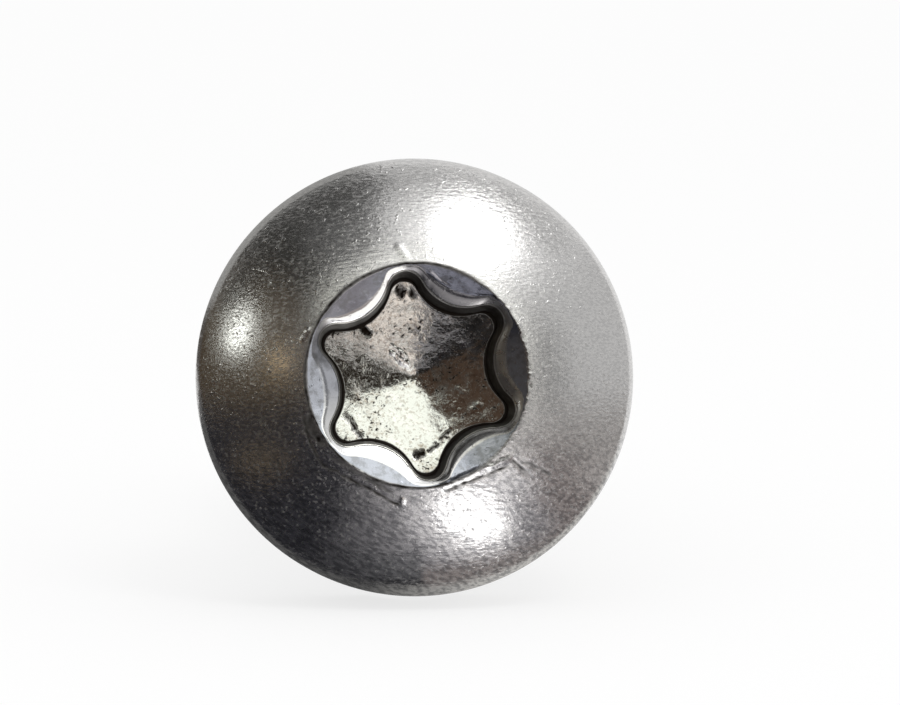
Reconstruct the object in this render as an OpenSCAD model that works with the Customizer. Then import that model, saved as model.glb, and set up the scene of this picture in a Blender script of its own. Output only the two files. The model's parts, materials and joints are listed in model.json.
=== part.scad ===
// Pan head sheet metal screw with a six-lobe driver recess, lying at rest on a level surface.
// The screw is drawn upright first: z = 0 is the bearing plane under the head, the dome faces +z
// and the point is at z = -screw_l. It is then laid down so that the edge of the head and the last
// full turn of the thread touch the surface, with the head facing -Y.

/* [Head] */
// Diameter of the head
head_d = 9.5; // [8:0.1:12]
// Height of the head from its bearing face to the crown of the dome
head_h = 3.7; // [3.2:0.1:5]
// Height of the dome alone, above the straight side of the head
dome_h = 1.55; // [1:0.05:2]
// Rounding where the dome runs into the side
rim_round = 0.35; // [0.1:0.05:0.6]
// Rounding of the edge around the bearing face
seat_round = 0.12; // [0.05:0.01:0.3]

/* [Driver recess] */
// Width across opposite lobe tips at the mouth
lobe_tip_d = 4.54; // [4:0.02:5]
// Width across opposite flanks at the mouth
lobe_flank_d = 3.42; // [3.2:0.02:3.8]
// Radius of each lobe tip
lobe_tip_r = 0.42; // [0.36:0.02:0.5]
// Width of the countersunk ring that is left outside the lobe tips
mouth_ring = 0.13; // [0.05:0.01:0.4]
// Slope of the countersunk lead-in below the plane of the mouth, in degrees
lead_in_slope = 18; // [12:1:30]
// Slope of the shoulder between the lead-in and the walls, in degrees
shoulder_slope = 34; // [26:1:45]
// Width of the shoulder at the flanks, seen from the front
shoulder_w = 0.22; // [0.1:0.01:0.3]
// Depth from the mouth to where the flanks meet the floor
recess_depth = 1.5; // [1.2:0.05:1.8]
// Draft of the recess walls, in degrees
recess_draft = 4.5; // [3:0.5:8]
// Slope of the conical floor, in degrees
floor_slope = 14; // [10:1:28]
// Turn of the recess about the screw's axis, in degrees
recess_turn = 37; // [0:1:60]

/* [Shank] */
// Length from the bearing face to the point
screw_l = 19; // [12:0.5:40]
// Outer diameter of the thread
thread_d = 4.8; // [4.4:0.05:5.4]
// Root diameter of the thread
root_d = 3.5; // [3:0.05:3.9]
// Axial distance between neighbouring turns
pitch = 1.6; // [1.3:0.05:2.2]
// Angle between the two flanks of the thread, in degrees
thread_angle = 60; // [50:1:66]
// Width of the thread's crest
crest_w = 0.1; // [0.05:0.01:0.2]
// Length of the plain neck between the fillet and the run-in of the thread
neck_l = 0.1; // [0.05:0.05:2]
// Share of a turn over which the thread rises to its full height
run_in = 0.5; // [0.3:0.05:1]
// Length of the tapered point
point_l = 4.3; // [3:0.1:7]
// Radius left at the very tip
tip_r = 0.12; // [0.08:0.01:0.3]

/* [Hidden] */

// Clearance between the thread's crest and the flat of the bearing face
seat_clear = 0.12;
// Overlap that carries one shape safely into the next
sink = 0.3;
// Reach of the shoulder's cutter beyond both edges of the shoulder
shoulder_lap = 0.08;
// Gap between the cone that ends the neck and the start of the thread
thread_gap = 0.05;
// Steps on the dome, on each small rounding, on each recess arc and on each turn of the thread
dome_steps = 12;
round_steps = 5;
lobe_steps = 8;
turn_steps = 36;

head_r = head_d / 2;
thread_r = thread_d / 2;
root_r = root_d / 2;

// The neck has the diameter of the blank, halfway between the thread's crest and root
neck_r = (thread_r + root_r) / 2;
fillet_r = thread_r + seat_clear - neck_r;
neck_end = fillet_r + neck_l;
root_s = neck_end + neck_r - root_r;

// The dome is one arc; the rim arc touches it and the straight side
dome_r = (head_r * head_r + dome_h * dome_h) / (2 * dome_h);
dome_z = head_h - dome_r;
rim_x = head_r - rim_round;
rim_a = asin(rim_x / (dome_r - rim_round));
rim_z = dome_z + (dome_r - rim_round) * cos(rim_a);

// Recess: arcs at the lobe tips touch the flank arcs between them
mouth_r = lobe_tip_d / 2 + mouth_ring;
mouth_a = asin(mouth_r / dome_r);
mouth_z = dome_z + dome_r * cos(mouth_a);
lobes = 6;
lobe_step = 360 / lobes;
flank_r = lobe_flank_d / 2;
tip_centre = lobe_tip_d / 2 - lobe_tip_r;
tip_gap = flank_r - lobe_tip_r;
flank_centre = (tip_centre * tip_centre - tip_gap * tip_gap)
  / (2 * (tip_centre * cos(lobe_step / 2) - tip_gap));
flank_arc_r = flank_centre - flank_r;
touch_a = atan2(flank_centre * sin(lobe_step / 2), flank_centre * cos(lobe_step / 2) - tip_centre);
foot_z = mouth_z - recess_depth;
foot_r = flank_r - recess_depth * tan(recess_draft);
apex_z = foot_z - foot_r * tan(floor_slope);
lead_in_r = foot_r - sink / 2;
lead_in_z = mouth_z - (mouth_r - lead_in_r) * tan(lead_in_slope);

// Thread: s is the distance below the bearing face, and row i is one step along the helix
thread_h = thread_r - root_r;
flank_w = thread_h * tan(thread_angle / 2);
ridge = [0, flank_w, flank_w + crest_w, 2 * flank_w + crest_w];
point_s = screw_l - point_l;
step_s = pitch / turn_steps;
rest_row = floor((point_s - ridge[2] - root_s - thread_gap) / step_s);
first_s = point_s - ridge[2] - rest_row * step_s;
last_row = floor((screw_l - tip_r - pitch - first_s) / step_s);
rest_a = -90;
point_slope = (root_r - tip_r) / (point_l - tip_r);

// Pose: the surface touches the seat edge and the outer corner of the last full crest
rest_run = point_s + seat_round;
rest_drop = head_r - seat_round - thread_r;
lie_a = atan2(rest_drop, rest_run) + asin(seat_round / norm([rest_run, rest_drop]));
lie_z = thread_r * cos(lie_a) + point_s * sin(lie_a);
front_y = -mouth_r * sin(lie_a) - mouth_z * cos(lie_a);
back_y = screw_l * cos(lie_a);

// Points of an arc about c, with angles from the screw's axis, without the first few
function arc(c, r, from, to, steps, skip = 0) =
  [for (i = [skip : steps]) let (a = from + (to - from) * i / steps) c + r * [sin(a), cos(a)]];

// Half section of the head, its countersunk mouth and the neck
function head_section() = concat(
  [[0, lead_in_z], [lead_in_r, lead_in_z]],
  arc([0, dome_z], dome_r, mouth_a, rim_a, dome_steps),
  arc([rim_x, rim_z], rim_round, rim_a, 90, round_steps, 1),
  arc([head_r - seat_round, seat_round], seat_round, 90, 180, round_steps),
  arc([neck_r + fillet_r, -fillet_r], fillet_r, 0, -90, round_steps),
  [[neck_r, -neck_end], [root_r - sink, -root_s - sink], [0, -root_s - sink]]
);

// One point of an arc in the plane of the recess, with angles about the screw's axis
function polar(r, a) = r * [cos(a), sin(a)];

// Outline of the recess, moved inwards by d all along, at height z
function lobe_ring(d, z) = [
  for (k = [0 : lobes - 1])
    let (
      lobe = recess_turn + k * lobe_step,
      tip = [
        for (i = [0 : lobe_steps - 1])
          polar(tip_centre, lobe)
          + polar(lobe_tip_r - d, lobe + touch_a * (2 * i / lobe_steps - 1))
      ],
      flank = [
        for (i = [0 : lobe_steps - 1])
          polar(flank_centre, lobe + lobe_step / 2)
          + polar(flank_arc_r + d, lobe + lobe_step / 2 + 180
            + (touch_a - lobe_step / 2) * (1 - 2 * i / lobe_steps))
      ]
    )
    for (p = concat(tip, flank)) [p[0], p[1], z]
];

// Ring that follows the shoulder round the recess, moved outwards along its slope by m from its upper
// edge, or from its lower edge; the shoulder narrows towards the lobe tips
function shoulder_ring(m, upper) = [
  for (p = lobe_ring(0, 0))
    let (
      wall_r = norm(p),
      w = min(shoulder_w, (mouth_r - wall_r) / 2),
      edge_r = wall_r + w,
      edge_z = mouth_z - (mouth_r - edge_r) * tan(lead_in_slope),
      out = upper ? m : m - w,
      scale_r = (edge_r + out) / wall_r
    )
    [p[0] * scale_r, p[1] * scale_r, edge_z + out * tan(shoulder_slope)]
];

// Faces between two rings of n points each, lower ring first
function loft_sides(n) = [
  for (i = [0 : n - 1])
    let (j = (i + 1) % n)
    each [[i, n + i, n + j], [i, n + j, j]]
];

// Solid between two flat rings that have their points in the same order, lower ring first
module loft(low, high) {
  n = len(low);
  floor_face = [[for (i = [0 : n - 1]) i]];
  top_face = [[for (i = [n - 1 : -1 : 0]) n + i]];
  polyhedron(concat(low, high), concat(floor_face, loft_sides(n), top_face), convexity = 8);
}

// Cutter of the shoulder, closed by fans to one point below it and one above it
module shoulder() {
  low = shoulder_ring(-shoulder_lap, false);
  high = shoulder_ring(shoulder_lap, true);
  n = len(low);
  middles = [[0, 0, mouth_z - sink], [0, 0, mouth_z + sink]];
  low_fan = [for (i = [0 : n - 1]) [i, (i + 1) % n, 2 * n]];
  high_fan = [for (i = [0 : n - 1]) [n + (i + 1) % n, n + i, 2 * n + 1]];
  polyhedron(concat(low, high, middles), concat(low_fan, loft_sides(n), high_fan), convexity = 8);
}

// Six-lobe hole with drafted walls and a conical floor
module driver_recess() {
  rise = head_h - mouth_z + sink;
  fall = mouth_z - apex_z;
  intersection() {
    loft(
      lobe_ring((fall + sink) * tan(recess_draft), apex_z - sink),
      lobe_ring(-rise * tan(recess_draft), mouth_z + rise)
    );
    floor_h = mouth_z + rise + sink - apex_z;
    translate([0, 0, apex_z])
      cylinder(h = floor_h, r1 = 0, r2 = floor_h / tan(floor_slope), $fn = 96);
  }
}

// Root radius and ridge height at distance s below the bearing face
function root_at(s) = min(root_r, tip_r + (screw_l - tip_r - s) * point_slope);
function ridge_at(s) = thread_h * min(1, (screw_l - s) / point_l);
function rise_at(i) = min(1, i / (run_in * turn_steps));
function row_a(i) = rest_a + 360 * (rest_row - i) / turn_steps;

// Point k across the ridge at row i: 0 and 3 are at the root, 1 and 2 on the crest
function thread_point(i, k) =
  let (
    s = first_s + i * step_s + ridge[k],
    r = root_at(s) + (k == 1 || k == 2 ? ridge_at(s) * rise_at(i) : 0),
    p = polar(r, row_a(i))
  )
  [p[0], p[1], -s];

// Place of point k of row i in the list of points; point 4 is point 0 of the next turn
function thread_index(i, k) =
  k == 4 ? thread_index(i + turn_steps, 0)
  : i <= last_row ? 4 * i + k
  : 4 * (last_row + 1) + i - last_row - 1;

// Threaded shank and its point, as one surface that follows the helix
module threaded_shank() {
  ring_start = 4 * (last_row + 1) + turn_steps;
  tip = ring_start + turn_steps;
  ring_z = -neck_end / 2;
  points = concat(
    [for (i = [0 : last_row], k = [0 : 3]) thread_point(i, k)],
    [for (i = [last_row + 1 : last_row + turn_steps]) thread_point(i, 0)],
    [for (i = [0 : turn_steps - 1]) let (p = polar(root_r, row_a(i))) [p[0], p[1], ring_z]],
    [[0, 0, -screw_l]]
  );
  ridges = [
    for (i = [0 : last_row - 1], k = [0 : 3])
      let (
        a = thread_index(i, k),
        b = thread_index(i + 1, k),
        c = thread_index(i + 1, k + 1),
        d = thread_index(i, k + 1)
      )
      each [[a, d, c], [a, c, b]]
  ];
  collar = [
    for (i = [0 : turn_steps - 2])
      let (
        a = ring_start + i,
        c = thread_index(i + 1, 0)
      )
      each [[a, thread_index(i, 0), c], [a, c, a + 1]]
  ];
  seam_top = thread_index(turn_steps - 1, 0);
  seam = concat(
    [
      [seam_top, ring_start, ring_start + turn_steps - 1],
      [seam_top, thread_index(0, 0), ring_start]
    ],
    [for (k = [0 : 3]) [seam_top, thread_index(0, k + 1), thread_index(0, k)]]
  );
  top_face = [[for (i = [0 : turn_steps - 1]) ring_start + i]];
  point_fan = [
    for (i = [last_row : last_row + turn_steps - 1])
      [thread_index(i, 0), tip, thread_index(i + 1, 0)]
  ];
  thread_end = [for (k = [0 : 3]) [thread_index(last_row, k), thread_index(last_row, k + 1), tip]];
  polyhedron(
    points,
    concat(ridges, collar, seam, top_face, point_fan, thread_end),
    convexity = 12
  );
}

// Head with its neck and recess
module head() {
  difference() {
    rotate_extrude($fn = 128) polygon(head_section());
    driver_recess();
    shoulder();
  }
}

// Moves the upright screw to where it lies
module laid_down() {
  translate([0, -(front_y + back_y) / 2, lie_z]) rotate([90 - lie_a, 0, 0]) children();
}

module screw() {
  color([0.55, 0.55, 0.56])
    laid_down() {
      head();
      threaded_shank();
    }
}

screw();
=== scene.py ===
"""Pan head sheet metal screw with a six-lobe driver recess, a rolled tapping thread and a gimlet point.

The screw's own frame has its origin on the axis, in the plane under the head. Its z axis points out of
the head and its y axis up, as seen from the front. Lengths are in metres.
"""

import json
import math
from typing import NamedTuple

import bmesh
import bpy
from bpy.props import FloatProperty, FloatVectorProperty, PointerProperty
from mathutils import Matrix, Vector, noise


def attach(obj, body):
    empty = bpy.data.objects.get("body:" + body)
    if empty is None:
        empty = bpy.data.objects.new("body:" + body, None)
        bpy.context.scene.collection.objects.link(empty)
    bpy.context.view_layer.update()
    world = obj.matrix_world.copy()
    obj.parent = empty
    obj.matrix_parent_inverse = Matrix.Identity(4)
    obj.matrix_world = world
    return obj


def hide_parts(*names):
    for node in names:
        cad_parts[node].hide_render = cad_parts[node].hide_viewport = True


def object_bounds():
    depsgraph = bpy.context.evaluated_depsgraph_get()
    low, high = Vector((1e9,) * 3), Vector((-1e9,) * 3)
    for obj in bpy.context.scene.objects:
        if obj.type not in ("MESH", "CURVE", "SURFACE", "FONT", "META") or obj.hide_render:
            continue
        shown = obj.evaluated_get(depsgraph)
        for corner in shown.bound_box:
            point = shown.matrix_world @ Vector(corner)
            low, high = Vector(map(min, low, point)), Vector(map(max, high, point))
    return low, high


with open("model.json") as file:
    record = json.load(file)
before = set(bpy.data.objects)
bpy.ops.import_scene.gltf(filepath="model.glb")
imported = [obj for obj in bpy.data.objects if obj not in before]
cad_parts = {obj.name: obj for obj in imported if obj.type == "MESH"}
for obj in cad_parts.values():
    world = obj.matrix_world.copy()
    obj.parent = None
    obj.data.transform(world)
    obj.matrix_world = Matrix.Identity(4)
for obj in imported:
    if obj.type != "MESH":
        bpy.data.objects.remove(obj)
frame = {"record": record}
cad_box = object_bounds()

bl_info = {
    "name": "Pan Head Screw",
    "version": (1, 0, 0),
    "blender": (4, 5, 0),
    "location": "View3D > Sidebar > Screw",
    "description": "Makes a pan head sheet metal screw with a six-lobe recess, and a stage to show it on",
    "category": "Add Mesh",
}

MOUNTS = {mount["name"]: mount for mount in frame["record"]["mounts"]}
MM = 0.001
LOBES = 6
FLOOR_BLUNT = 0.12 * MM
MOUTH_RAG = 0.014 * MM
OUTLINE_HEIGHT = 1.06 * MM
CARD_CENTRE = 3 * MM
MERGE_DISTANCE = 2e-7
PICTURE_SIZE = (900, 705)


def screw_frame():
    """Matrix from the screw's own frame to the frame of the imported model."""
    down = Vector(MOUNTS["thread"]["axis"]).normalized()
    on_axis = Vector(MOUNTS["thread"]["pos_m"])
    below_seat = (on_axis - Vector(MOUNTS["under_head"]["pos_m"])).dot(down)
    out = -down
    side = Vector((1, 0, 0))
    turn = Matrix((side, out.cross(side), out)).transposed()
    return Matrix.Translation(on_axis - below_seat * down) @ turn.to_4x4()


def size(name, description, millimetres):
    """A length that a user may change."""
    length = millimetres * MM
    return FloatProperty(name=name, description=description, default=length, unit="LENGTH", precision=5)


def slant(name, description, degrees):
    """An angle that a user may change."""
    return FloatProperty(name=name, description=description, default=math.radians(degrees), subtype="ANGLE")


def tint(name, description, colour):
    """A colour that a user may change."""
    return FloatVectorProperty(
        name=name, description=description, default=colour, subtype="COLOR", min=0, max=1
    )


def share(name, description, value, top=1.0):
    """A plain number that a user may change."""
    return FloatProperty(name=name, description=description, default=value, min=0, soft_max=top)


class HeadSizes(bpy.types.PropertyGroup):
    """Sizes of the pan head and its neck."""

    width: size("Width", "Diameter of the head", (cad_box[1].x - cad_box[0].x) / MM)
    height: size("Height", "Height of the head from its bearing face to the full dome's top", 3.7)
    dome_height: size("Dome height", "Height of the dome above the head's side", 1.55)
    rim_round: size("Rim round", "Radius between the dome and the side", 0.35)
    seat_round: size("Seat round", "Radius between the side and the bearing face", 0.12)
    neck_radius: size("Neck radius", "Radius of the plain neck under the head", 2.075)
    neck_fillet: size("Neck fillet", "Radius between the bearing face and the neck", 0.445)
    neck_length: size("Neck length", "Plain neck between the fillet and the thread", 0.1)


class RecessSizes(bpy.types.PropertyGroup):
    """Sizes of the six-lobe driver recess."""

    mouth_radius: size("Mouth radius", "Radius of the round mouth", 2.4)
    tip_width: size("Tip width", "Width across the tips of opposite lobes", 4.54)
    flank_width: size("Flank width", "Width across opposite flanks", 3.42)
    tip_round: size("Tip round", "Radius of a lobe's tip", 0.42)
    depth: size("Depth", "Depth of the wall's foot at a flank, below the mouth", 1.5)
    lead_in: slant("Lead-in", "Slope of the lead-in between the mouth and the shoulder", 18)
    shoulder_slope: slant("Shoulder slope", "Slope of the shoulder between the lead-in and the walls", 34)
    shoulder_width: size("Shoulder width", "Width of the shoulder at a flank, seen from the front", 0.22)
    draft: slant("Draft", "Lean of the walls", 4.5)
    floor_slope: slant("Floor slope", "Slope of the conical floor", 14)
    mouth_round: size("Mouth round", "Radius of the mouth's edge", 0.05)
    shoulder_round: size("Shoulder round", "Radius between the lead-in and the shoulder", 0.7)
    ledge_round: size("Ledge round", "Radius between the shoulder and the walls", 0.08)
    foot_round: size("Foot round", "Radius between the walls and the floor", 0.06)
    turn: slant("Turn", "Angle of the first lobe, seen from the front", 37)


class ThreadSizes(bpy.types.PropertyGroup):
    """Sizes of the rolled thread and the point."""

    outer_radius: size("Outer radius", "Radius at the thread's crest", MOUNTS["thread"]["dims"]["r_mm"])
    root_radius: size("Root radius", "Radius at the thread's root", 1.75)
    pitch: size("Pitch", "Distance from one turn to the next", 1.6)
    crest_width: size("Crest width", "Width of the flat on the crest", 0.1)
    flank_angle: slant("Flank angle", "Angle between the thread's flanks", 60)
    length: size("Length", "Length under the head", 19)
    point_length: size("Point length", "Length of the tapered point", 4.3)
    tip_round: size("Tip round", "Radius of the point's tip", 0.12)
    root_cone: size("Root cone", "Length of the cone from the neck down to the root", 0.325)
    run_in: share("Run-in", "Turns over which the thread rises to its full height", 0.5)


class SteelFinish(bpy.types.PropertyGroup):
    """Colours and texture of the satin steel."""

    steel: tint("Steel", "Colour of the clean steel", (0.69, 0.68, 0.67))
    lead_in: tint("Lead-in", "Colour of the punched lead-in", (0.43, 0.45, 0.51))
    worn: tint("Worn steel", "Colour of the strokes that wear has left on the dome", (0.3, 0.3, 0.305))
    stain: tint("Stain", "Colour of the stains on the lead-in", (0.24, 0.245, 0.255))
    # This brighter colour is partly burnish and partly a painted highlight on the shoulder at the left, and a
    # painted glint on raised marks on the floor.
    shoulder: tint("Shoulder", "Colour of the burnished shoulder", (0.85, 0.85, 0.84))
    floor: tint("Floor", "Colour of the recess's floor", (0.76, 0.76, 0.72))
    film: tint("Film", "Colour of the brown film on the floor", (0.3, 0.24, 0.18))
    # Besides the dirt specks on the floor, this colour paints shade on the recess's walls and the corner at
    # their foot, and darkens grooves, the mouth's edge, a part of the ledge and the thread's roots.
    grime_and_shade: tint("Grime", "Colour of the dirt in the corners", (0.016, 0.012, 0.009))
    dome_roughness: share("Dome roughness", "Roughness of the dome", 0.2)
    recess_roughness: share("Recess roughness", "Roughness inside the recess", 0.15)
    grain: size("Grain", "Width of one grain of the surface", 0.08)
    grain_height: size("Grain height", "Height of the grain", 0.0031)
    pit_height: size("Pit height", "Height of the small pits", 0.003)
    streak_height: size("Streak height", "Height of the rubbed streaks", 0.0042)
    wear: share("Wear", "Strength of the marks round the mouth and on the floor", 1.0)


class StageSettings(bpy.types.PropertyGroup):
    """Camera and floor."""

    camera_azimuth: slant("Camera azimuth", "Direction of the camera round the screw", -2.65)
    camera_elevation: slant("Camera elevation", "Height of the camera above the horizon", 7.3)
    lens: share("Lens", "Focal length in millimetres", 180, 500)
    picture_width: size("Picture width", "Width that the picture shows at the head", 19.69)
    head_column: share("Head column", "Column of the head's centre in the picture, in pixels", 412.86, 900)
    head_row: share("Head row", "Row of the head's centre in the picture, in pixels", 378.39, 705)
    floor_size: size("Floor size", "Width of the floor", 900)
    floor_colour: tint("Floor", "Colour of the floor", (0.9, 0.9, 0.9))


def usable(sockets, key):
    """The socket with that number, or the first with that name that is in use."""
    if isinstance(key, int):
        return sockets[key]
    return next(socket for socket in sockets if socket.name == key and not socket.is_unavailable)


class Wire:
    """One socket of a node tree. An expression on wires adds Math nodes to their tree."""

    def __init__(self, graph, socket):
        self.graph = graph
        self.socket = socket

    def __add__(self, other):
        return self.graph.maths("ADD", self, other)

    __radd__ = __add__

    def __sub__(self, other):
        return self.graph.maths("SUBTRACT", self, other)

    def __rsub__(self, other):
        return self.graph.maths("SUBTRACT", other, self)

    def __mul__(self, other):
        return self.graph.maths("MULTIPLY", self, other)

    __rmul__ = __mul__

    def __truediv__(self, other):
        return self.graph.maths("DIVIDE", self, other)

    def __rtruediv__(self, other):
        return self.graph.maths("DIVIDE", other, self)

    def __pow__(self, other):
        return self.graph.maths("POWER", self, other)


class Graph:
    """Adds nodes to one node tree."""

    def __init__(self, tree):
        self.tree = tree
        tree.nodes.clear()

    def node(self, kind, settings=None, sockets=None, output=0):
        """Adds a node, sets it up, then fills its sockets with values or wires. Returns one output."""
        node = self.tree.nodes.new(kind)
        for name, value in (settings or {}).items():
            setattr(node, name, value)
        for key, value in (sockets or {}).items():
            socket = usable(node.inputs, key)
            if isinstance(value, Wire):
                self.tree.links.new(value.socket, socket)
            else:
                socket.default_value = value
        return Wire(self, usable(node.outputs, output)) if node.outputs else None

    def maths(self, operation, *values):
        """A Math node on wires and numbers."""
        return self.node("ShaderNodeMath", {"operation": operation}, dict(enumerate(values)))

    def limit(self, value, low=0.0, high=1.0):
        """The value, kept between two bounds."""
        return self.maths("MINIMUM", self.maths("MAXIMUM", value, low), high)

    def rise(self, value, low, high):
        """A smooth step from 0 at low to 1 at high."""
        sockets = {"Value": value, "From Min": low, "From Max": high}
        return self.node("ShaderNodeMapRange", {"interpolation_type": "SMOOTHSTEP"}, sockets)

    def mix(self, factor, first, second):
        """A colour between two colours."""
        sockets = {"Factor": factor, "A": first, "B": second}
        return self.node("ShaderNodeMix", {"data_type": "RGBA"}, sockets, "Result")

    def noise(self, vector, scale, detail=2.0, roughness=0.5):
        """Smooth noise with a mean of about one half."""
        sockets = {"Vector": vector, "Scale": scale, "Detail": detail, "Roughness": roughness}
        return self.node("ShaderNodeTexNoise", None, sockets, 0)

    def attribute(self, name):
        """A number that the mesh holds at its vertices."""
        return self.node("ShaderNodeAttribute", {"attribute_name": name}, None, "Fac")


def opaque(colour):
    """A colour with its alpha."""
    return (*colour, 1.0)


def rubbed_noise(g, vector, turn, length, fineness):
    """Noise drawn out along a direction that is turned round the head's axis."""
    sockets = {"Vector": vector, "Rotation": (0, 0, turn), "Scale": (length, 1.0, 1.0)}
    drawn = g.node("ShaderNodeMapping", {"vector_type": "TEXTURE"}, sockets)
    return g.noise(drawn, fineness)


def steel_material(finish):
    """Satin steel with grain, rubbed streaks and dirt specks on the recess's floor, painted shade on the
    recess's walls and in its corners, darkened creases and grooves, and a shoulder that is partly a painted
    highlight.
    """
    material = bpy.data.materials.new("satin_steel")
    material.use_nodes = True
    g = Graph(material.node_tree)
    place = screw_frame()
    spot = g.node("ShaderNodeTexCoord", None, None, "Object")
    sockets = {
        "Vector": spot,
        "Location": place.to_translation(),
        "Rotation": place.to_euler(),
        "Scale": (MM, MM, MM),
    }
    local = g.node("ShaderNodeMapping", {"vector_type": "TEXTURE"}, sockets)
    punched = g.attribute("punched")
    floor = g.attribute("floor")
    wall = g.attribute("wall")
    lead_in = g.attribute("lead_in")
    shoulder = g.attribute("shoulder")
    crease_dirt_and_shade = g.attribute("crease_dirt_and_shade")

    sideways = g.node("ShaderNodeSeparateXYZ", None, {"Vector": local}, "X")
    height = g.node("ShaderNodeSeparateXYZ", None, {"Vector": local}, "Y")
    low = 1.0 - g.rise(height, -3.0, 0.5)
    left = (1.0 - g.rise(sideways, -3.4, -1.6)) * g.rise(height, -1.2, 0.4) * (1.0 - g.rise(height, 1.0, 2.6))

    grain = g.noise(local, MM / finish.grain, 3.0, 0.6)
    streaks = rubbed_noise(g, local, 0.0, 5.0, 18.0)
    level_strokes = rubbed_noise(g, local, 0.0, 3.0, 24.0)
    slanted_strokes = rubbed_noise(g, local, -0.55, 2.6, 13.0)
    strokes = g.rise(level_strokes + (slanted_strokes - level_strokes) * low, 0.4, 0.64)
    pits = g.rise(g.noise(local, 8.0, 2.0, 0.5), 0.62, 0.72)
    dull = g.rise(rubbed_noise(g, local, 0.0, 2.4, 21.0), 0.45, 0.7)
    dots = g.rise(g.noise(local, 14.0, 1.0, 0.5), 0.62, 0.69)
    specks = g.rise(g.noise(local, 11.0, 4.0, 0.65), 0.55, 0.63)
    patches = g.noise(local, 1.6, 3.0, 0.6)
    mottle = g.noise(local, 5.0, 3.0, 0.6)
    dome = 1.0 - punched

    film = floor * (g.rise(patches, 0.5, 0.75) * 0.4 + g.rise(grain, 0.48, 0.66) * 0.45)
    # Painted shade: the recess's walls are darkened almost to black, with a little mottle.
    grime_and_shade = g.limit(wall * (0.88 + mottle * 0.25))
    # Dirt specks in patches on the floor, the painted shade of the walls, and the darkening of corners,
    # creases and grooves.
    dirt_and_shade = g.limit(grime_and_shade + floor * specks * g.rise(patches, 0.44, 0.58) + crease_dirt_and_shade * (0.45 + mottle))
    stain = lead_in * g.rise(mottle, 0.46, 0.66) * 0.6
    colour = g.mix(dome * strokes * (0.3 + low * 0.5), opaque(finish.steel), opaque(finish.worn))
    colour = g.mix(lead_in, colour, opaque(finish.lead_in))
    colour = g.mix(stain, colour, opaque(finish.stain))
    colour = g.mix(floor, colour, opaque(finish.floor))
    # The shoulder is brighter: partly burnished steel, partly a painted highlight.
    colour = g.mix(shoulder, colour, opaque(finish.shoulder))
    colour = g.mix(film, colour, opaque(finish.film))
    colour = g.mix(dirt_and_shade, colour, opaque(finish.grime_and_shade))

    roughness = finish.recess_roughness + (finish.dome_roughness - finish.recess_roughness) * dome
    roughness = roughness + (mottle - 0.5) * 0.2 * punched - shoulder * 0.06 - floor * 0.03
    dotted = dots * (dome * (0.06 + low * 0.28) + floor * 0.1)
    roughness = roughness + dirt_and_shade * 0.4 + dull * 0.12 * dome + dotted
    relief_share = 0.65 + low * 0.3 - left * 0.45
    sockets = {
        "Strength": relief_share * (1.0 - 0.85 * punched),
        "Distance": finish.streak_height * 1.5,
        "Height": streaks,
    }
    rubbed = g.node("ShaderNodeBump", None, sockets)
    sockets = {
        "Strength": 1.0 - 0.6 * punched,
        "Distance": finish.pit_height,
        "Height": pits,
        "Normal": rubbed,
    }
    pitted = g.node("ShaderNodeBump", None, sockets)
    sockets = {
        "Strength": relief_share * (1.0 - 0.75 * punched) + 0.5 * floor,
        "Distance": finish.grain_height * 1.5,
        "Height": grain,
        "Normal": pitted,
    }
    relief = g.node("ShaderNodeBump", None, sockets)
    sockets = {
        "Base Color": colour,
        # The walls' painted shade also takes away their metal shine.
        "Metallic": 1.0 - 0.9 * grime_and_shade,
        "Roughness": g.limit(roughness, 0.05, 1.0),
        "Specular IOR Level": 0.1,
        "Normal": relief,
    }
    shader = g.node("ShaderNodeBsdfPrincipled", None, sockets)
    g.node("ShaderNodeOutputMaterial", None, {"Surface": shader})
    return material


THREAD_INPUTS = (
    "Outer Radius",
    "Root Radius",
    "Neck Radius",
    "Neck End",
    "Root Cone",
    "Pitch",
    "Crest Width",
    "Flank Width",
    "First Turn",
    "Length",
    "Point Length",
    "Tip Round",
    "Run In",
    "Thread Start",
)


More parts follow.
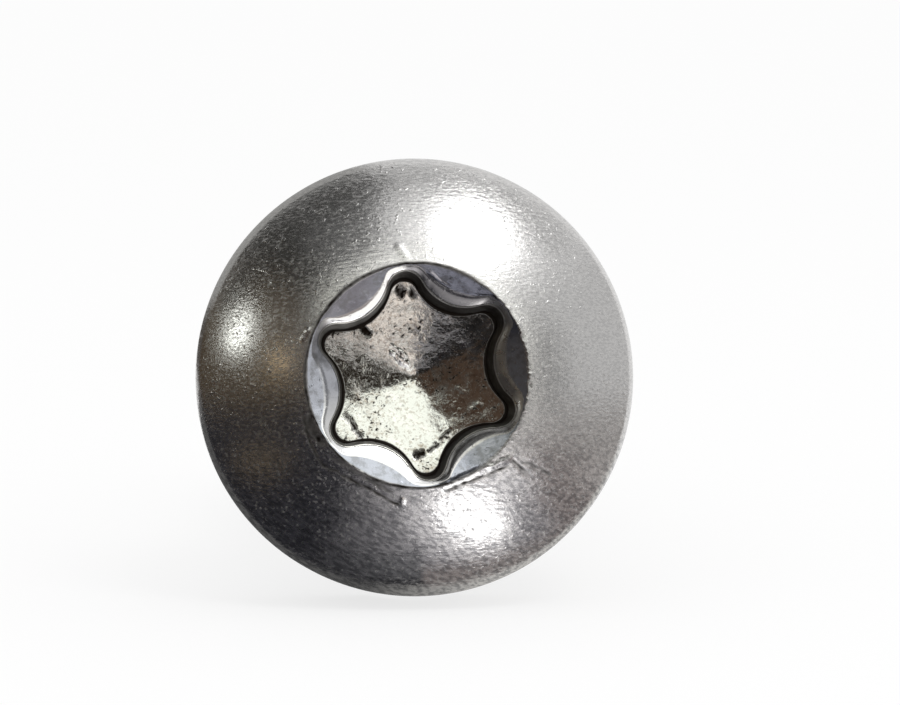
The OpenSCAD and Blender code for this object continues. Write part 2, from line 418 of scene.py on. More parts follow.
def thread_tree(columns, rows, turn_rows):
    """Node tree of the rolled thread: a grid wrapped round the axis along a helix, closed at the tip."""
    tree = bpy.data.node_groups.new("rolled_thread", "GeometryNodeTree")
    g = Graph(tree)
    tree.interface.new_socket("Mesh", in_out="OUTPUT", socket_type="NodeSocketGeometry")
    for name in THREAD_INPUTS:
        tree.interface.new_socket(name, in_out="INPUT", socket_type="NodeSocketFloat")
    tree.interface.new_socket("Material", in_out="INPUT", socket_type="NodeSocketMaterial")
    group = tree.nodes.new("NodeGroupInput")
    value = {socket.name: Wire(g, socket) for socket in group.outputs if socket.name}
    grid = g.node("GeometryNodeMeshGrid", None, {"Vertices X": columns + 1, "Vertices Y": rows + 1})
    index = g.node("GeometryNodeInputIndex")
    column = g.maths("FLOOR", (index + 0.5) / (rows + 1.0))
    row = index - column * (rows + 1.0)
    turn = column / float(columns)
    even = row / float(turn_rows)
    wave = g.maths("SINE", even * math.tau)
    along = even + wave * (0.6 / math.tau)
    ridge_number = g.maths("FLOOR", along + 0.0001)
    from_crest = g.maths("ABSOLUTE", along - ridge_number - 0.5) * value["Pitch"]
    depth = value["First Turn"] + value["Pitch"] * (along + turn)
    depth = g.limit(depth, value["Neck End"], value["Length"])
    to_tip = value["Length"] - depth
    tip_part = g.maths("MINIMUM", to_tip, value["Tip Round"])
    cap = g.maths("SQRT", g.maths("MAXIMUM", tip_part * (2.0 * value["Tip Round"] - tip_part), 0.0))
    rise = (value["Root Radius"] - value["Tip Round"]) / (value["Point Length"] - value["Tip Round"])
    cone = cap + g.maths("MAXIMUM", to_tip - value["Tip Round"], 0.0) * rise
    root = g.maths("MINIMUM", value["Root Radius"], cone)
    below_neck = g.limit((depth - value["Neck End"]) / value["Root Cone"])
    root = root + (value["Neck Radius"] - value["Root Radius"]) * (1.0 - g.rise(below_neck, 0.0, 1.0))
    flank = g.limit((value["Crest Width"] * 0.5 + value["Flank Width"] - from_crest) / value["Flank Width"])
    flank = flank * 0.6 + g.rise(flank, 0.0, 1.0) * 0.4
    full = value["Outer Radius"] - value["Root Radius"]
    shrink = g.maths("MINIMUM", to_tip / value["Point Length"], 1.0)
    started = g.limit((ridge_number + turn - value["Thread Start"]) / value["Run In"])
    radius = root + full * shrink * flank * g.rise(started, 0.0, 1.0)
    angle = -math.pi / 2 - math.tau * turn
    sockets = {
        "X": radius * g.maths("COSINE", angle),
        "Y": radius * g.maths("SINE", angle),
        "Z": -1.0 * depth,
    }
    position = g.node("ShaderNodeCombineXYZ", None, sockets)
    mesh = g.node("GeometryNodeSetPosition", None, {"Geometry": grid, "Position": position})
    # Darkening towards the thread's roots, stored with the darkening of the head's creases.
    root_darkening = (1.0 - flank) * 0.5
    settings = {"data_type": "FLOAT", "domain": "POINT"}
    sockets = {"Geometry": mesh, "Name": "crease_dirt_and_shade", "Value": root_darkening}
    mesh = g.node("GeometryNodeStoreNamedAttribute", settings, sockets)
    mesh = g.node("GeometryNodeMergeByDistance", None, {"Geometry": mesh, "Distance": MERGE_DISTANCE})
    mesh = g.node("GeometryNodeRealizeInstances", None, {"Geometry": mesh})
    mesh = g.node("GeometryNodeSetMaterial", None, {"Geometry": mesh, "Material": value["Material"]})
    g.node("NodeGroupOutput", None, {"Mesh": mesh})
    return tree


def thread_mesh(head, thread, columns, turn_rows, material):
    """Plain mesh of the threaded shank and its point, in the screw's own frame."""
    neck_end = head.neck_fillet + head.neck_length
    flank_width = (thread.outer_radius - thread.root_radius) * math.tan(thread.flank_angle / 2)
    rest_crest = thread.length - thread.point_length - thread.crest_width / 2
    turns_above = math.ceil((rest_crest - neck_end) / thread.pitch + 0.5)
    first_turn = rest_crest - (turns_above + 0.5) * thread.pitch
    first_crest = neck_end + thread.root_cone + flank_width + thread.crest_width / 2
    values = {
        "Outer Radius": thread.outer_radius,
        "Root Radius": thread.root_radius,
        "Neck Radius": head.neck_radius,
        "Neck End": neck_end,
        "Root Cone": thread.root_cone,
        "Pitch": thread.pitch,
        "Crest Width": thread.crest_width,
        "Flank Width": flank_width,
        "First Turn": first_turn,
        "Length": thread.length,
        "Point Length": thread.point_length,
        "Tip Round": thread.tip_round,
        "Run In": thread.run_in,
        "Thread Start": (first_crest - first_turn) / thread.pitch - 0.5,
        "Material": material,
    }
    rows = math.ceil((thread.length - first_turn) / thread.pitch + 0.2) * turn_rows
    tree = thread_tree(columns, rows, turn_rows)
    holder = bpy.data.objects.new("thread", bpy.data.meshes.new("thread"))
    bpy.context.collection.objects.link(holder)
    modifier = holder.modifiers.new("rolled_thread", "NODES")
    modifier.node_group = tree
    for item in tree.interface.items_tree:
        if item.in_out == "INPUT":
            modifier[item.identifier] = values[item.name]
    graph = bpy.context.evaluated_depsgraph_get()
    mesh = bpy.data.meshes.new_from_object(
        holder.evaluated_get(graph), preserve_all_data_layers=True, depsgraph=graph
    )
    holder.modifiers.remove(modifier)
    bpy.data.objects.remove(holder)
    return mesh


def between(first, last, steps):
    """Points that divide a straight stretch, without its ends."""
    return [first.lerp(last, i / steps) for i in range(1, steps)]


def round_corner(first, corner, last, radius, steps):
    """Points of the round that replaces a corner and takes up to half of the stretches beside it."""
    to_first = first - corner
    to_last = last - corner
    reach_limit = 0.48 * min(to_first.length, to_last.length)
    to_first.normalize()
    to_last.normalize()
    half = to_first.angle(to_last) / 2
    radius = min(radius, reach_limit * math.tan(half))
    centre = corner + (to_first + to_last).normalized() * radius / math.sin(half)
    start = (corner + to_first * radius / math.tan(half) - centre).normalized()
    end = (corner + to_last * radius / math.tan(half) - centre).normalized()
    return [centre + start.slerp(end, i / steps) * radius for i in range(steps + 1)]


class Scar(NamedTuple):
    """A mark along a line between two places on the head, seen from the front, in millimetres."""

    first_x: float
    first_y: float
    last_x: float
    last_y: float
    bow: float
    half_width: float
    height: float

    def lift(self, x, y):
        """Height of the mark at a place."""
        along = Vector((self.last_x - self.first_x, self.last_y - self.first_y))
        spot = Vector((x - self.first_x, y - self.first_y))
        t = spot.dot(along) / along.length_squared
        off = along.cross(spot) / along.length - self.bow * 4 * t * (1 - t)
        ends = max(0.0, min(1.0, 8 * t + 0.5, 8.5 - 8 * t))
        return self.height * ends * math.exp(-((off / self.half_width) ** 2))


MOUTH_SCARS = (
    Scar(-2.49, -0.73, -2.03, -1.91, -0.08, 0.03, -0.011),
    Scar(-2.03, -1.91, -0.39, -2.8, 0.02, 0.03, -0.014),
    Scar(-2.4, -0.85, -2.0, -1.5, -0.02, 0.1, -0.011),
    Scar(-1.9, -1.7, -0.6, -2.5, 0.0, 0.06, -0.008),
    Scar(-0.39, -2.82, -0.33, -2.62, 0.0, 0.04, 0.04),
    Scar(0.5, -2.36, 2.0, -1.78, 0.0, 0.05, 0.035),
    Scar(0.6, -2.46, 1.9, -1.96, 0.0, 0.03, -0.016),
    Scar(2.0, -1.78, 2.39, -2.19, 0.0, 0.03, -0.015),
    Scar(2.2, -1.85, 3.1, -2.3, 0.05, 0.03, -0.01),
    Scar(-0.24, 2.76, 0.0, 2.46, 0.0, 0.03, -0.003),
    Scar(-0.4, 2.82, -0.2, 2.44, 0.0, 0.06, 0.016),
    Scar(-2.45, 0.76, -2.33, 1.04, 0.0, 0.03, 0.03),
    Scar(0.25, 2.2, 0.85, 1.72, 0.0, 0.03, 0.01),
    Scar(1.02, 1.6, 1.7, 1.62, 0.06, 0.03, 0.01),
)
FLOOR_SCARS = (
    Scar(-1.5, -0.82, -1.06, -1.42, 0.0, 0.03, -0.03),
    Scar(-0.52, 0.7, -0.16, 0.46, 0.0, 0.055, 0.022),
    Scar(-0.5, 0.56, -0.1, 0.3, 0.0, 0.055, 0.026),
    Scar(-0.4, 0.4, -0.04, 0.2, 0.0, 0.05, 0.02),
    Scar(-1.15, 1.1, -0.95, 0.92, 0.0, 0.07, -0.04),
    Scar(-0.38, 1.92, -0.2, 1.78, 0.0, 0.09, -0.014),
    Scar(-0.12, 1.9, 0.02, 1.74, 0.0, 0.08, -0.014),
    Scar(-0.04, -1.74, 0.18, -1.62, 0.0, 0.07, -0.035),
    Scar(0.26, -1.62, 0.54, -1.45, 0.0, 0.03, -0.02),
    Scar(0.5, -1.35, 0.8, -1.15, 0.0, 0.03, -0.015),
    Scar(0.04, -0.1, 0.45, -0.2, 0.0, 0.09, 0.007),
    Scar(0.95, -0.2, 1.15, -0.36, 0.0, 0.04, 0.012),
    Scar(1.2, -0.75, 1.45, -0.55, 0.0, 0.05, 0.012),
)


def roughness_at(x, y, pitch, key):
    """Smooth random number from -1 to 1 at a place in millimetres. Each key gives others."""
    return noise.noise(Vector((x / pitch, y / pitch, key)))


def scar_height(scars, x, y):
    """Height of some marks at a place on the head, in millimetres."""
    x += 0.03 * roughness_at(x, y, 0.16, 1.5)
    y += 0.03 * roughness_at(x, y, 0.16, 4.5)
    return sum(scar.lift(x, y) for scar in scars) * (0.85 + 0.6 * roughness_at(x, y, 0.11, 2.5))


class WornShoulder(NamedTuple):
    """Wear of the shoulder round an angle: flatter by some degrees and narrower by a share."""

    middle: float
    spread: float
    flatter: float
    narrower: float


WORN_SHOULDERS = (
    WornShoulder(238, 50, 5, 0),
    WornShoulder(308, 36, -4, 0.4),
    WornShoulder(121, 40, 8, 0.42),
    WornShoulder(121, 14, 4, 0),
    WornShoulder(67, 36, 0, 0.3),
    WornShoulder(20, 14, 1.8, 0),
    WornShoulder(14, 24, 0, 0.45),
)


def facing(angle, middle, spread):
    """Smooth share that is 1 near an angle in degrees and falls to 0 at the spread beside it."""
    off = abs((math.degrees(angle) - middle + 180) % 360 - 180) / spread
    return max(0.0, min(1.0, 2.5 - 2.5 * off))


class HeadForm:
    """The head's section at any angle round the axis, as points of radius and height."""

    def __init__(self, head, recess):
        self.head = head
        self.recess = recess
        self.rim_radius = head.width / 2
        self.side_top = head.height - head.dome_height
        self.dome_radius = (self.rim_radius**2 + head.dome_height**2) / (2 * head.dome_height)
        self.dome_centre = head.height - self.dome_radius
        self.mouth = Vector((recess.mouth_radius, self.dome_at(recess.mouth_radius)))
        step = math.pi / LOBES
        self.tip_centre = recess.tip_width / 2 - recess.tip_round
        flank = recess.flank_width / 2
        gap = recess.tip_round - flank
        self.flank_centre = (self.tip_centre**2 - gap**2) / (2 * (self.tip_centre * math.cos(step) + gap))
        self.flank_round = self.flank_centre - flank
        across = self.flank_centre * math.sin(step)
        self.touch = math.atan2(across, self.flank_centre * math.cos(step) - self.tip_centre)
        self.floor_rise = math.tan(recess.floor_slope)
        foot_radius = flank - recess.depth * math.tan(recess.draft)
        self.apex = self.mouth.y - recess.depth - foot_radius * self.floor_rise

    def dome_at(self, radius):
        """Height of the dome at a radius."""
        return self.dome_centre + math.sqrt(self.dome_radius**2 - radius**2)

    def lobe_radius(self, angle, inset):
        """Radius of the six-lobe outline at an angle, moved inwards by inset."""
        step = math.tau / LOBES
        from_tip = abs((angle - self.recess.turn + step / 2) % step - step / 2)
        tip_round = self.recess.tip_round - inset
        flank_round = self.flank_round + inset
        last_tip = math.atan2(
            tip_round * math.sin(self.touch), self.tip_centre + tip_round * math.cos(self.touch)
        )
        if from_tip <= last_tip:
            across = self.tip_centre * math.sin(from_tip)
            return self.tip_centre * math.cos(from_tip) + math.sqrt(tip_round**2 - across**2)
        from_flank = step / 2 - from_tip
        across = self.flank_centre * math.sin(from_flank)
        return self.flank_centre * math.cos(from_flank) - math.sqrt(flank_round**2 - across**2)

    def recess_section(self, angle, wear):
        """Zones of the recess's section, from the floor's middle out to the mouth's edge."""
        recess = self.recess
        ragged = roughness_at(math.cos(angle), math.sin(angle), 0.09, 3.5)
        rag_share = max(0.0, math.cos(angle)) ** 3
        ragged += 3.5 * rag_share * roughness_at(math.cos(angle), math.sin(angle), 0.025, 6.5)
        mouth_x = recess.mouth_radius + wear * MOUTH_RAG * ragged
        top = self.lobe_radius(angle, 0)
        lean = (top - self.lobe_radius(angle, recess.depth * math.tan(recess.draft))) / recess.depth
        lead_in_fall = math.tan(recess.lead_in)
        mouth = Vector((mouth_x, self.mouth.y + (mouth_x - recess.mouth_radius) * lead_in_fall))
        flatter = 0.0
        narrower = 0.0
        for worn in WORN_SHOULDERS:
            near = wear * facing(angle, worn.middle, worn.spread)
            flatter += math.radians(worn.flatter) * near
            narrower += worn.narrower * near
        shoulder_fall = math.tan(recess.shoulder_slope - flatter)
        shoulder_width = recess.shoulder_width * (1 - narrower)
        shoulder_x = top + min(shoulder_width, (recess.mouth_radius - top) * 0.5)
        shoulder = Vector((shoulder_x, self.mouth.y - (recess.mouth_radius - shoulder_x) * lead_in_fall))
        ledge_drop = self.mouth.y - shoulder.y + shoulder.x * shoulder_fall
        ledge_x = (top - lean * ledge_drop) / (1 - lean * shoulder_fall)
        ledge = Vector((ledge_x, shoulder.y - (shoulder.x - ledge_x) * shoulder_fall))
        foot_x = (top - (self.mouth.y - self.apex) * lean) / (1 - self.floor_rise * lean)
        foot = Vector((foot_x, self.apex + foot_x * self.floor_rise))
        middle = Vector((0, self.apex))
        outside_x = self.mouth.x * 1.1
        outside = Vector((outside_x, self.dome_at(outside_x)))
        foot_arc = round_corner(middle, foot, ledge, recess.foot_round, 5)
        ledge_arc = round_corner(foot, ledge, shoulder, recess.ledge_round, 7)
        shoulder_arc = round_corner(ledge, shoulder, mouth, recess.shoulder_round, 6)
        mouth_arc = round_corner(shoulder, mouth, outside, recess.mouth_round, 4)
        return {
            "floor": between(middle, foot_arc[0], 40),
            "foot": foot_arc,
            "wall": between(foot_arc[-1], ledge_arc[0], 6),
            "ledge": ledge_arc + between(ledge_arc[-1], shoulder_arc[0], 4) + shoulder_arc,
            "lead_in": between(shoulder_arc[-1], mouth_arc[0], 9),
            "mouth": mouth_arc,
        }

    def outer_section(self):
        """Zones of the section from the mouth's edge over the dome and the bearing face to the neck's end."""
        head = self.head
        rim = self.rim_radius
        round_from = rim - head.rim_round * 0.75
        start = self.recess.mouth_radius + self.recess.mouth_round * 0.6
        fine_end = self.recess.mouth_radius + 0.6 * MM
        radii = [start + (fine_end - start) * (i + 1) / 18 for i in range(18)]
        radii += [fine_end + (round_from - fine_end) * (i + 1) / 16 for i in range(15)]
        slope_end = Vector((round_from, self.dome_at(round_from)))
        corner = Vector((rim, self.side_top))
        seat_corner = Vector((rim, 0))
        neck_corner = Vector((head.neck_radius, 0))
        neck_end = Vector((head.neck_radius, -head.neck_fillet - head.neck_length))
        rim_arc = round_corner(slope_end - (corner - slope_end) * 3, corner, seat_corner, head.rim_round, 9)
        seat_arc = round_corner(corner, seat_corner, neck_corner, head.seat_round, 5)
        neck_arc = round_corner(seat_corner, neck_corner, neck_end, head.neck_fillet, 7)
        return {
            "dome": [Vector((r, self.dome_at(r))) for r in radii],
            "rim": rim_arc,
            "side": between(rim_arc[-1], seat_arc[0], 6),
            "seat": seat_arc + between(seat_arc[-1], neck_arc[0], 8),
            "neck": neck_arc + [neck_end],
        }


ZONE_MARKS = {
    "floor": {"punched": 1.0, "floor": 1.0},
    # The foot, the corner between the walls and the floor, is darkened fully as painted shade.
    "foot": {"punched": 1.0, "wall": 0.7, "floor": 0.3, "crease_dirt_and_shade": 1.0},
    "wall": {"punched": 1.0},
    "ledge": {"punched": 1.0},
    "lead_in": {"punched": 1.0, "lead_in": 1.0},
}
MARKS = ("punched", "floor", "wall", "lead_in", "shoulder", "crease_dirt_and_shade")
SCARRED = {
    "floor": FLOOR_SCARS,
    "lead_in": MOUTH_SCARS,
    "mouth": MOUTH_SCARS,
    "dome": MOUTH_SCARS,
}
SCAR_REACH = 3.7 * MM
SHINE_MOST = 0.8
# Heights of marks, in millimetres, from which grooves are darkened, partly as dirt and partly as painted
# shade, and raised marks on the floor are brightened, partly as burnish and partly as a painted glint.
DIRT_AND_SHADE_FROM = 0.003
DIRT_AND_SHADE_FULL = 0.012
SHINE_FROM = 0.008
SHINE_FULL = 0.02
# The floor's unevenness: height and pitch in millimetres, and the key to its random numbers.
FLOOR_WAVES = ((0.012, 0.9, 7.5), (0.006, 0.3, 5.5), (0.0018, 0.09, 8.5))


def zone_marks(zone, angle):
    """Marks of a zone: walls painted dark as shade, a ledge darkened at the right and in one lobe, a darker
    mouth's edge, and a shoulder brighter at the left, partly burnished and partly a painted highlight.
    """
    marks = dict(ZONE_MARKS.get(zone, {}))
    if zone == "wall":
        # The walls are painted dark as shade, a little less towards the upper left.
        marks["wall"] = 1.0 - 0.12 * facing(angle, 137, 45)
    if zone == "ledge":
        # The shoulder is brighter at the upper and lower left, partly burnish and partly a painted highlight.
        marks["shoulder"] = max(facing(angle, 122, 38), facing(angle, 238, 50))
        # The ledge is darkened at the right and in the lobe at 161 degrees.
        marks["crease_dirt_and_shade"] = 0.4 * facing(angle, 5, 55) + 0.55 * facing(angle, 161, 15)
        marks["lead_in"] = 0.7 * facing(angle, 184, 45)
    if zone == "mouth":
        # The mouth's edge is darkened, less at the right.
        marks["crease_dirt_and_shade"] = 0.9 - 0.7 * facing(angle, 0, 75)
    return marks


def head_mesh(form, columns, wear, material):
    """Mesh of the head with its recess, in the screw's own frame, open at the neck's end."""
    mesh = bpy.data.meshes.new("head")
    builder = bmesh.new()
    marks = {name: builder.verts.layers.float.new(name) for name in MARKS}
    outer = form.outer_section()
    columns_of_verts = []
    for i in range(columns):
        angle = -math.pi / 2 + math.tau * i / columns
        zones = form.recess_section(angle, wear)
        zones.update(outer)
        places = [(zone, point) for zone, points in zones.items() for point in points]
        column = []
        for number, (zone, point) in enumerate(places):
            turn = angle - math.tau * (i % 2) / columns if number == len(places) - 1 else angle
            x = point.x * math.cos(turn)
            y = point.x * math.sin(turn)
            scarred = 0.0
            if zone in SCARRED and point.x < SCAR_REACH:
                scarred = wear * scar_height(SCARRED[zone], x / MM, y / MM)
            lift = scarred
            if zone == "floor":
                lift += form.floor_rise * (math.hypot(point.x, FLOOR_BLUNT) - point.x) / MM
                for wave_height, wave_pitch, key in FLOOR_WAVES:
                    lift += wear * wave_height * roughness_at(x / MM, y / MM, wave_pitch, key)
            vert = builder.verts.new((x, y, point.y + lift * MM))
            for name, value in zone_marks(zone, angle).items():
                vert[marks[name]] = value
            # Grooves are darkened, partly as dirt and partly as painted shade; raised marks on the floor take
            # the shoulder's brighter colour, partly burnish and partly a painted glint.
            if scarred < -DIRT_AND_SHADE_FROM:
                vert[marks["crease_dirt_and_shade"]] = min(1.0, -scarred / DIRT_AND_SHADE_FULL)
            if zone == "floor" and scarred > SHINE_FROM:
                vert[marks["shoulder"]] = min(SHINE_MOST, scarred / SHINE_FULL)
            column.append(vert)
        columns_of_verts.append(column)
    apex = builder.verts.new((0, 0, form.apex + form.floor_rise * FLOOR_BLUNT))
    for name, value in ZONE_MARKS["floor"].items():
        apex[marks[name]] = value
    for here, following in zip(columns_of_verts, columns_of_verts[1:] + columns_of_verts[:1]):
        builder.faces.new((apex, here[0], following[0]))
        for k in range(len(here) - 1):
            builder.faces.new((here[k], here[k + 1], following[k + 1], following[k]))
    builder.to_mesh(mesh)
    builder.free()
    mesh.materials.append(material)
    return mesh


class SCREW_OT_make_screw(bpy.types.Operator):
    """Makes the finished screw from its head and its rolled thread"""

    bl_idname = "screw.make_screw"
    bl_label = "Make Screw"
    columns = 360
    turn_rows = 18

    def execute(self, context):
        scene = context.scene
        material = steel_material(scene.screw_finish)
        form = HeadForm(scene.screw_head, scene.screw_recess)
        meshes = (
            head_mesh(form, self.columns, scene.screw_finish.wear, material),
            thread_mesh(scene.screw_head, scene.screw_thread, self.columns // 2, self.turn_rows, material),
        )
        parts = [bpy.data.objects.new("finished_screw", mesh) for mesh in meshes]
        for part in parts:
            context.collection.objects.link(part)
        with context.temp_override(
            active_object=parts[0], object=parts[0], selected_editable_objects=parts, selected_objects=parts
        ):
            bpy.ops.object.join()
        screw = parts[0]
        builder = bmesh.new()
        builder.from_mesh(screw.data)
        bmesh.ops.remove_doubles(builder, verts=builder.verts, dist=MERGE_DISTANCE)
        bmesh.ops.recalc_face_normals(builder, faces=builder.faces)
        builder.to_mesh(screw.data)
        builder.free()
        screw.data.transform(screw_frame())
        screw.data.shade_smooth()
        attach(screw, "root")
        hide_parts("screw")
        return {"FINISHED"}


def glow_material(name, colour, strength, last_colour=None):
    """Plain light of one colour, or of two that run into each other along the card."""
    material = bpy.data.materials.new(name)
    material.use_nodes = True
    g = Graph(material.node_tree)
    tone = opaque(colour)
    if last_colour:
        tone = g.mix(g.attribute("along"), tone, opaque(last_colour))
    glow = g.node("ShaderNodeEmission", None, {"Color": tone, "Strength": strength})
    g.node("ShaderNodeOutputMaterial", None, {"Surface": glow})
    return material


def floor_material(colour):
    """Pale floor that is close to white in the picture and in the steel, and keeps the screw's shadow."""
    material = bpy.data.materials.new("pale_floor")
    material.use_nodes = True
    g = Graph(material.node_tree)
    path = {name: g.node("ShaderNodeLightPath", None, None, name) for name in (
        "Is Camera Ray",
        "Is Glossy Ray",
        "Is Transmission Ray",
    )}
    seen = g.limit(path["Is Camera Ray"] + path["Is Glossy Ray"] + path["Is Transmission Ray"])
    paint = g.node("ShaderNodeBsdfDiffuse", None, {"Color": opaque(colour)})
    white = g.node("ShaderNodeEmission", None, {"Color": (1, 1, 1, 1), "Strength": 1.0})
    surface = g.node("ShaderNodeMixShader", None, {0: seen * 0.75, 1: paint, 2: white})
    g.node("ShaderNodeOutputMaterial", None, {"Surface": surface})
    return material


def stage_object(name, corners, faces, material):
    """A plain mesh that belongs to the stage."""
    mesh = bpy.data.meshes.new(name)
    mesh.from_pydata(corners, [], faces)
    mesh.materials.append(material)
    thing = bpy.data.objects.new(name, mesh)
    bpy.context.collection.objects.link(thing)
    return thing


def head_direction(off_axis, around):
    """Direction that leans off the head's axis, towards an angle seen from the front, both in degrees."""
    off_axis = math.radians(off_axis)
    around = math.radians(around)
    local = Vector((math.cos(around), math.sin(around), 0)) * math.sin(off_axis)
    local.z = math.cos(off_axis)
    return screw_frame().to_3x3() @ local


def mirrored_only(thing):
    """Leaves a card visible in reflections alone."""
    thing.visible_camera = False
    thing.visible_diffuse = False
    thing.visible_shadow = False
    thing.visible_transmission = False


def curved_card(name, off_axis, around, reach, colour, strength=1.0, last_off_axis=None):
    """A card bent round the head, between angles off its axis, which may change to its last end."""
    middle = screw_frame() @ Vector((0, 0, CARD_CENTRE))
    bounds = (off_axis, last_off_axis or off_axis)
    across = 12
    along = 16
    corners = []
    for i in range(across + 1):
        first, last = [low + (high - low) * i / across for low, high in bounds]
        for j in range(along + 1):
            lean = first + (last - first) * j / along
            turn = around[0] + (around[1] - around[0]) * j / along
            corners.append(middle + reach * head_direction(lean, turn))
    faces = [
        (k, k + 1, k + along + 2, k + along + 1)
        for i in range(across)
        for k in range(i * (along + 1), i * (along + 1) + along)
    ]
    mirrored_only(stage_object(name, corners, faces, glow_material(name, colour, strength)))


def floor_shape(name, outline, colour, lift, strength=1.0):
    """A card just above the floor inside an outline, in millimetres."""
    corners = [(x * MM, y * MM, lift * MM) for x, y in outline]
    faces = [tuple(range(len(corners)))]
    mirrored_only(stage_object(name, corners, faces, glow_material(name, colour, strength)))


def ellipse(x, y, half_width, half_depth):
    """Outline of an ellipse on the floor."""
    turns = [math.tau * i / 32 for i in range(32)]
    return [(x + half_width * math.cos(turn), y + half_depth * math.sin(turn)) for turn in turns]


def floor_card(name, low, high, colour, lift=0.05):
    """A card just above the floor between two corners, in millimetres."""
    outline = ((low[0], low[1]), (high[0], low[1]), (high[0], high[1]), (low[0], high[1]))
    floor_shape(name, outline, colour, lift)


def floor_ramp(name, low, high, colour, last_colour, lift):
    """A card just above the floor whose colour runs from left to right."""
    corners = [(x * MM, y * MM, lift * MM) for x in (low[0], high[0]) for y in (low[1], high[1])]
    material = glow_material(name, colour, 1.0, last_colour)
    card = stage_object(name, corners, [(0, 2, 3, 1)], material)
    along = card.data.attributes.new("along", "FLOAT", "POINT")
    along.data.foreach_set("value", (0.0, 0.0, 1.0, 1.0))
    mirrored_only(card)


def soft_lamp(name, off_axis, around, distance, width, radiance):
    """A white area lamp that looks at the head, as bright as its radiance says."""
    data = bpy.data.lights.new(name, "AREA")
    data.shape = "DISK"
    data.size = width
    data.energy = radiance * math.pi * math.pi * (width / 2) ** 2
    lamp = bpy.data.objects.new(name, data)
    direction = head_direction(off_axis, around)
    lamp.location = screw_frame() @ Vector((0, 0, CARD_CENTRE)) + direction * distance
    lamp.rotation_euler = direction.to_track_quat("Z", "Y").to_euler()
    lamp.visible_camera = False
    bpy.context.collection.objects.link(lamp)


def studio_world():
    """Even white light from all round."""
    world = bpy.data.worlds.new("studio")
    world.use_nodes = True
    g = Graph(world.node_tree)
    sky = g.node("ShaderNodeBackground", None, {"Color": (1, 1, 1, 1), "Strength": 1.0})
    g.node("ShaderNodeOutputWorld", None, {"Surface": sky})
    return world


def bright_lights():
    """The lamp and the two small lights that the dome mirrors as bright spots."""
    soft_lamp("key_lamp", 54, 65.5, 0.12, 0.045, 4.2)
    curved_card("left_light", (59.4, 61.9), (155.5, 168.5), 0.08, (0.97, 1, 0.95), 5.6, (57.6, 62.8))
    curved_card("warm_light", (42.5, 45.5), (168, 174), 0.08, (1, 0.76, 0.46), 2.4)


def cards_on_floor():
    """Cards before the head, which the dome's lower half and the upper half of the recess mirror."""
    dark = (0.03, 0.03, 0.036)
    glow = (0.36, 0.35, 0.37)
    rim_glow = (0.7, 0.69, 0.67)
    floor_card("warm_glow", (-14, -20), (-9, -15), (0.16, 0.125, 0.085), 0.1)
    floor_shape("low_light", ellipse(2.3, -14.3, 1.4, 2.2), (1, 0.99, 0.99), 0.15, 3.0)
    floor_shape("low_halo", ellipse(2, -14.4, 2.4, 3), (0.75, 0.73, 0.75), 0.13)
    floor_shape("far_halo", ellipse(5.9, -18, 1.8, 3.2), (1, 0.98, 1), 0.12, 1.2)
    outline = ((0.2, -21), (6.6, -21), (5.2, -11.6), (0.2, -11.4))
    floor_shape("low_glow", outline, glow, 0.1)
    floor_card("low_end_card", (0.2, -11.7), (4.5, -10.6), (0.27, 0.24, 0.235), 0.09)
    floor_ramp("low_ramp", (-3.2, -15), (0.2, -12), dark, glow, 0.09)
    floor_ramp("far_ramp", (-4.2, -21), (0.2, -15), dark, (0.6, 0.58, 0.6), 0.09)
    floor_ramp("low_end_ramp", (-3.2, -12), (0.2, -11), (0.025, 0.025, 0.03), (0.16, 0.16, 0.17), 0.09)
    floor_card("rim_card", (1.9, -10.8), (14, -7.5), rim_glow, 0.1)
    floor_ramp("rim_ramp", (-1.2, -10.8), (1.9, -7.5), (0.12, 0.12, 0.12), rim_glow, 0.1)
    floor_card("low_right_rim_card", (8.5, -14.5), (13, -10.8), (0.5, 0.47, 0.46), 0.08)
    floor_card("low_flag", (-80, -200), (4.5, -10.3), dark)
    floor_card("low_left_flag", (-80, -10.8), (-1.2, 8), (0.12, 0.12, 0.12), 0.07)
    floor_card("low_right_card", (4.5, -200), (80, -10.8), (0.27, 0.235, 0.23))
    floor_card("low_far_right_card", (13, -80), (80, -10.5), (0.42, 0.4, 0.39), 0.08)
    outline = ((1.2, -17.8), (6.4, -19.2), (10.2, -21), (10.8, -25), (9.5, -28.4), (1.8, -26))
    floor_shape("shoulder_light", outline, (1, 0.98, 0.96), 0.11, 1.2)
    outline = ((9.8, -27.4), (13, -30.6), (24, -41), (28, -45), (33, -41), (27, -34.5), (13, -28))
    floor_shape("shoulder_far_light", outline, (1, 0.98, 0.96), 0.11, 1.1)
    outline = ((0.3, -29), (1.8, -28.2), (19, -44.5), (19, -200), (-1, -200))
    floor_shape("front_card", outline, (1, 0.91, 0.86), 0.1)
    outline = ((0.8, -24.5), (0.8, -27.4), (-11, -38), (-13, -35))
    floor_shape("upper_right_card", outline, (0.52, 0.5, 0.53), 0.12)
    floor_card("upper_right_flag", (-18, -120), (-1.2, -38.6), (0.004, 0.003, 0.002), 0.115)


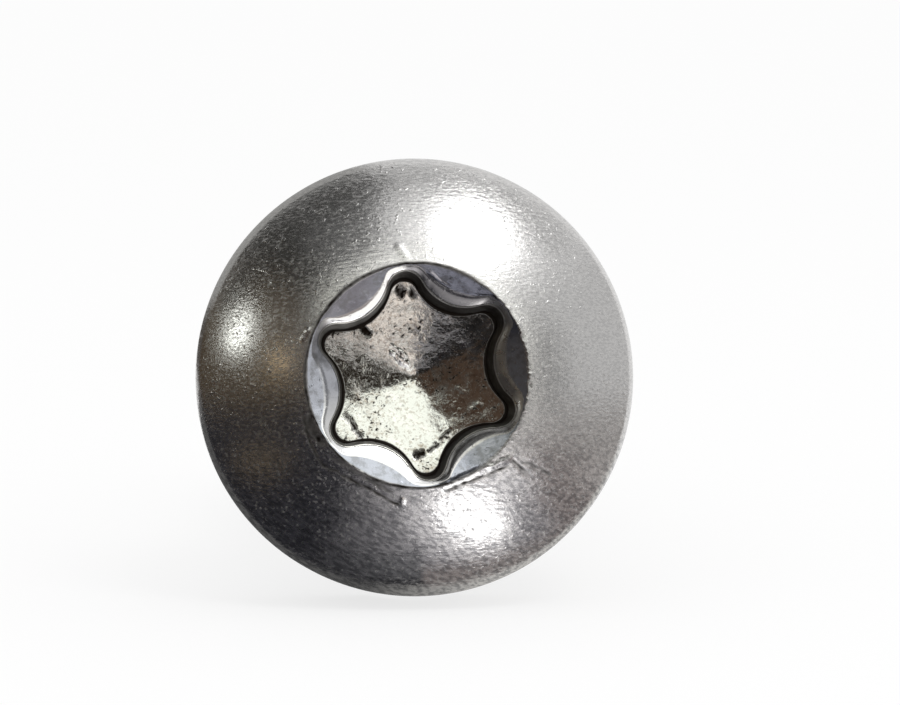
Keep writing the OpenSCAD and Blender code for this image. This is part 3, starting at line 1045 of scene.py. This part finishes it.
def cards_round_head():
    """Cards round the head, which the rest of the dome and the lower half of the recess mirror."""
    curved_card("left_flag", (36, 100), (142, 190), 0.09, (0.08, 0.06, 0.04))
    curved_card("left_edge", (100, 178), (158, 190), 0.09, (0.1, 0.09, 0.08))
    curved_card("dark_left_flag", (36, 80), (190, 228), 0.091, (0.02, 0.018, 0.016))
    curved_card("top_left_flag", (40, 78), (126, 142), 0.09, (0.025, 0.024, 0.022))
    curved_card("top_left_edge", (78, 178), (99, 158), 0.089, (0.42, 0.42, 0.41))
    curved_card("top_flag", (42, 78), (99, 126), 0.09, (0.12, 0.12, 0.12))
    curved_card("top_rim_flag", (63, 73), (93, 157), 0.0885, (0.035, 0.034, 0.032))
    curved_card("high_card", (64, 77), (40, 93), 0.09, (0.45, 0.45, 0.45))
    curved_card("high_edge", (77, 178), (40, 99), 0.09, (0.9, 0.9, 0.9))
    curved_card("right_inner_card", (41, 52), (-35, 38), 0.09, (0.28, 0.28, 0.28))
    curved_card("right_high_card", (41, 52), (22, 38), 0.089, (0.52, 0.52, 0.52))
    curved_card("left_inner_card", (37.5, 42), (142, 176), 0.089, (0.16, 0.15, 0.14))
    curved_card("right_outer_card", (52, 95), (-35, 38), 0.09, (0.66, 0.66, 0.66))
    curved_card("brown_card", (16, 29), (116, 200), 0.088, (0.07, 0.045, 0.032))
    curved_card("dark_card", (16, 29), (200, 240), 0.088, (0.012, 0.011, 0.01))
    curved_card("right_lead_card", (29, 36), (114, 201), 0.087, (0.1, 0.095, 0.09))
    curved_card("band_card", (16, 34), (-18, 24), 0.0875, (0.02, 0.015, 0.011))
    curved_card("window_card", (16, 34), (22, 114), 0.088, (0.97, 1, 0.94), 1.3)
    curved_card("high_window_card", (34, 41), (20, 112), 0.088, (1, 1, 0.95), 1.6)
    curved_card("low_right_lead_card", (32, 39), (117, 141), 0.0865, (0.97, 0.98, 0.88), 1.1)
    curved_card("right_end_card", (32, 39), (141, 152), 0.0865, (0.25, 0.27, 0.26))
    curved_card("left_window_card", (34, 41), (-25, 20), 0.088, (0.98, 0.97, 0.93), 1.1)
    curved_card("lens_flag", (0, 16), (0, 360), 0.07, (0.06, 0.05, 0.042))


def place_camera(settings):
    """Camera on the head, with the head's outline where the picture has it."""
    data = bpy.data.cameras.new("camera")
    data.lens = settings.lens
    data.sensor_width = 36
    distance = settings.picture_width * data.lens / data.sensor_width
    data.shift_x = (PICTURE_SIZE[0] / 2 - settings.head_column) / PICTURE_SIZE[0]
    data.shift_y = (settings.head_row - PICTURE_SIZE[1] / 2) / PICTURE_SIZE[0]
    data.clip_start = distance * 0.01
    data.clip_end = distance * 100
    azimuth, elevation = settings.camera_azimuth, settings.camera_elevation
    back = Vector((
        math.sin(azimuth) * math.cos(elevation),
        -math.cos(azimuth) * math.cos(elevation),
        math.sin(elevation),
    ))
    camera = bpy.data.objects.new("camera", data)
    outline_middle = screw_frame() @ Vector((0, 0, OUTLINE_HEIGHT))
    camera.location = outline_middle + back * distance
    camera.rotation_euler = back.to_track_quat("Z", "Y").to_euler()
    bpy.context.collection.objects.link(camera)
    bpy.context.scene.camera = camera


class SCREW_OT_set_stage(bpy.types.Operator):
    """Sets up the floor, the lamp, the cards and the camera"""

    bl_idname = "screw.set_stage"
    bl_label = "Set Stage"

    def execute(self, context):
        scene = context.scene
        settings = scene.screw_stage
        half = settings.floor_size / 2
        corners = [(-half, -half, 0), (half, -half, 0), (half, half, 0), (-half, half, 0)]
        stage_object("floor", corners, [(0, 1, 2, 3)], floor_material(settings.floor_colour))
        scene.world = studio_world()
        bright_lights()
        cards_on_floor()
        cards_round_head()
        place_camera(settings)
        scene.view_settings.view_transform = "Standard"
        return {"FINISHED"}


class SCREW_PT_sidebar(bpy.types.Panel):
    """Lists the screw's sizes and the steps that make it"""

    bl_idname = "SCREW_PT_sidebar"
    bl_label = "Pan Head Screw"
    bl_space_type = "VIEW_3D"
    bl_region_type = "UI"
    bl_category = "Screw"

    def draw(self, context):
        scene = context.scene
        for group in (scene.screw_head, scene.screw_recess, scene.screw_thread, scene.screw_finish):
            box = self.layout.box()
            for name in group.__annotations__:
                box.prop(group, name)
        self.layout.operator(SCREW_OT_make_screw.bl_idname)
        self.layout.operator(SCREW_OT_set_stage.bl_idname)


SETTINGS = {
    "screw_head": HeadSizes,
    "screw_recess": RecessSizes,
    "screw_thread": ThreadSizes,
    "screw_finish": SteelFinish,
    "screw_stage": StageSettings,
}
CLASSES = (*SETTINGS.values(), SCREW_OT_make_screw, SCREW_OT_set_stage, SCREW_PT_sidebar)


def register():
    for item in CLASSES:
        bpy.utils.register_class(item)
    for name, group in SETTINGS.items():
        setattr(bpy.types.Scene, name, PointerProperty(type=group))


def unregister():
    for name in SETTINGS:
        delattr(bpy.types.Scene, name)
    for item in reversed(CLASSES):
        bpy.utils.unregister_class(item)


def main():
    """Makes the screw and its stage."""
    register()
    bpy.ops.screw.make_screw()
    bpy.ops.screw.set_stage()


if __name__ == "__main__":
    main()
